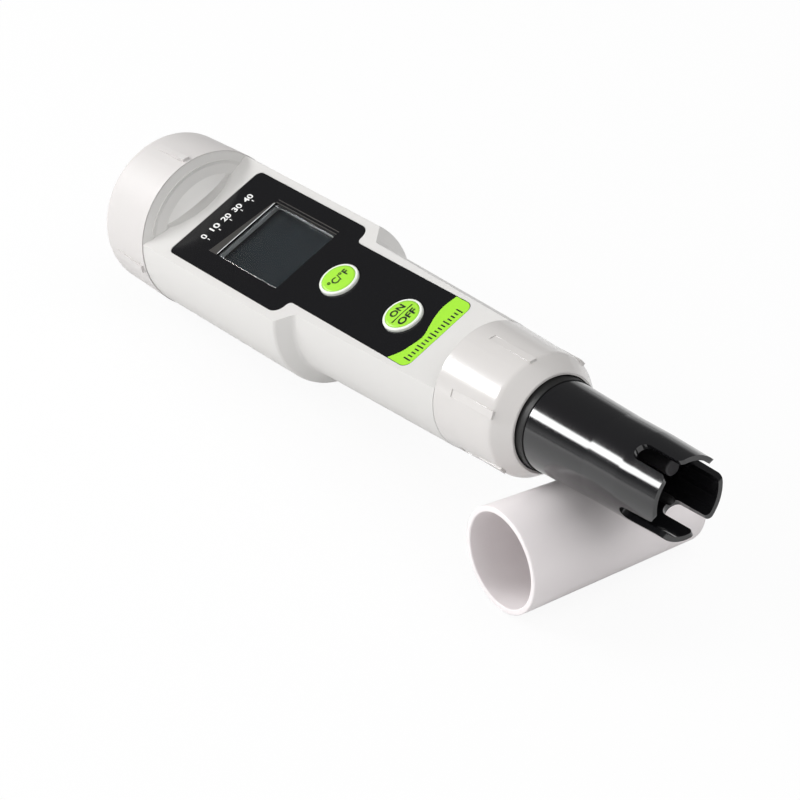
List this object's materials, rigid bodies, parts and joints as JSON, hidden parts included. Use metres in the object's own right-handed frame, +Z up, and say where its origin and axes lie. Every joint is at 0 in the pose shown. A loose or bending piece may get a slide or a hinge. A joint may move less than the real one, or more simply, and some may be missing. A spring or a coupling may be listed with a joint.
{
  "type": "digital salinity meter",
  "caption": "Pen-shaped salinity meter with a flat display panel, round push buttons, a screw cap, a locking collar and a slotted probe tube, lying across its own protective cap.",
  "frame": {"origin": "bottom centre of the bounding box of the meter and its loose protective cap, as they lie", "axes": "+X along the meter towards the probe tip, which rises by 5.3 degrees because the probe lies across its protective cap; +Y across the meter, away from the side that the protective cap's mouth points to; +Z up"},
  "size_m": [0.1832, 0.0472, 0.0452],
  "materials": {
    "shell": "satin moulded ABS",
    "panel": "gloss black film",
    "window": "clear acrylic",
    "display": "liquid crystal cell, switched off",
    "key": "satin",
    "key_face": "satin green",
    "frame_black": "matt black",
    "conductive_rubber": "matt",
    "seal": "matt",
    "circuit_board": "solder mask",
    "chip": "moulded epoxy",
    "steel": "plated",
    "inner_moulding": "matt light grey",
    "cell": "plated",
    "trimmer": "matt blue",
    "brass": "plated",
    "probe_black": "satin black",
    "electrode": "matt grey",
    "sheath": "satin, faintly translucent"
  },
  "bodies": {
    "meter": {"housing": "shell", "front_panel": "panel", "display_window": "window", "display_frame": "frame_black", "display_glass": "display", "zebra_strips": "conductive_rubber", "main_board": "circuit_board", "board_chips": "chip", "board_screws": "steel", "chassis": "inner_moulding", "units_switch": "chip", "power_switch": "chip", "battery_holder": "inner_moulding", "button_cells": "cell", "battery_spring": "steel", "trimmer_body": "trimmer", "sensor_socket": "frame_black"},
    "cap_contact": {"cap_gasket": "seal", "contact_plate": "steel"},
    "battery_cap": {"battery_cap": "shell"},
    "units_key": {"units_button": "key", "units_face": "key_face", "units_plunger": "frame_black"},
    "power_key": {"power_button": "key", "power_face": "key_face", "power_plunger": "frame_black"},
    "trimmer": {"trimmer_rotor": "brass"},
    "sensor": {"sensor_base": "probe_black", "probe_tube": "probe_black", "sensor_ring": "seal", "electrode_carrier": "probe_black", "electrode_rods": "electrode", "temperature_probe": "electrode", "sensor_plug": "frame_black", "sensor_pins": "brass", "sensor_leads": "seal"},
    "collar": {"locking_collar": "shell"},
    "probe_cap": {"probe_cap": "sheath"}
  },
  "joints": [
    {"name": "battery_cap_travel", "type": "slide", "parent": "meter", "child": "cap_contact", "axis": [-0.9956, 0, -0.0938], "range_m": [0, 0.00375]},
    {"name": "battery_cap_turn", "type": "hinge", "parent": "cap_contact", "child": "battery_cap", "pos_m": [-0.08123, -0.00151, 0.01913], "axis": [-0.9956, 0, -0.0938], "range_deg": [0, 540]},
    {"name": "sensor_travel", "type": "slide", "parent": "meter", "child": "sensor", "axis": [0.9956, 0, 0.0938], "range_m": [0, 0.002]},
    {"name": "collar_turn", "type": "hinge", "parent": "sensor", "child": "collar", "pos_m": [0.04023, -0.00151, 0.03058], "axis": [0.9956, 0, 0.0938], "range_deg": [0, 360]},
    {"name": "units_press", "type": "slide", "parent": "meter", "child": "units_key", "axis": [0.0866, 0.3859, -0.9185], "range_m": [0, 0.0005], "stiffness_N_per_m": 300},
    {"name": "power_press", "type": "slide", "parent": "meter", "child": "power_key", "axis": [0.0866, 0.3859, -0.9185], "range_m": [0, 0.0005], "stiffness_N_per_m": 300},
    {"name": "trimmer_turn", "type": "hinge", "parent": "meter", "child": "trimmer", "pos_m": [-0.07231, 0.00273, 0.00978], "axis": [-0.9956, 0, -0.0938], "range_deg": [-135, 135]},
    {"name": "probe_cap_draw", "type": "slide", "parent": "meter", "child": "probe_cap", "axis": [-0.054, -0.9985, 0], "range_m": [0, 0.04]}
  ],
  "couplings": [
    {"joint": "battery_cap_turn", "follows": "battery_cap_travel", "rad_per_m": 2513.3},
    {"joint": "collar_turn", "follows": "sensor_travel", "rad_per_m": 3141.6}
  ]
}
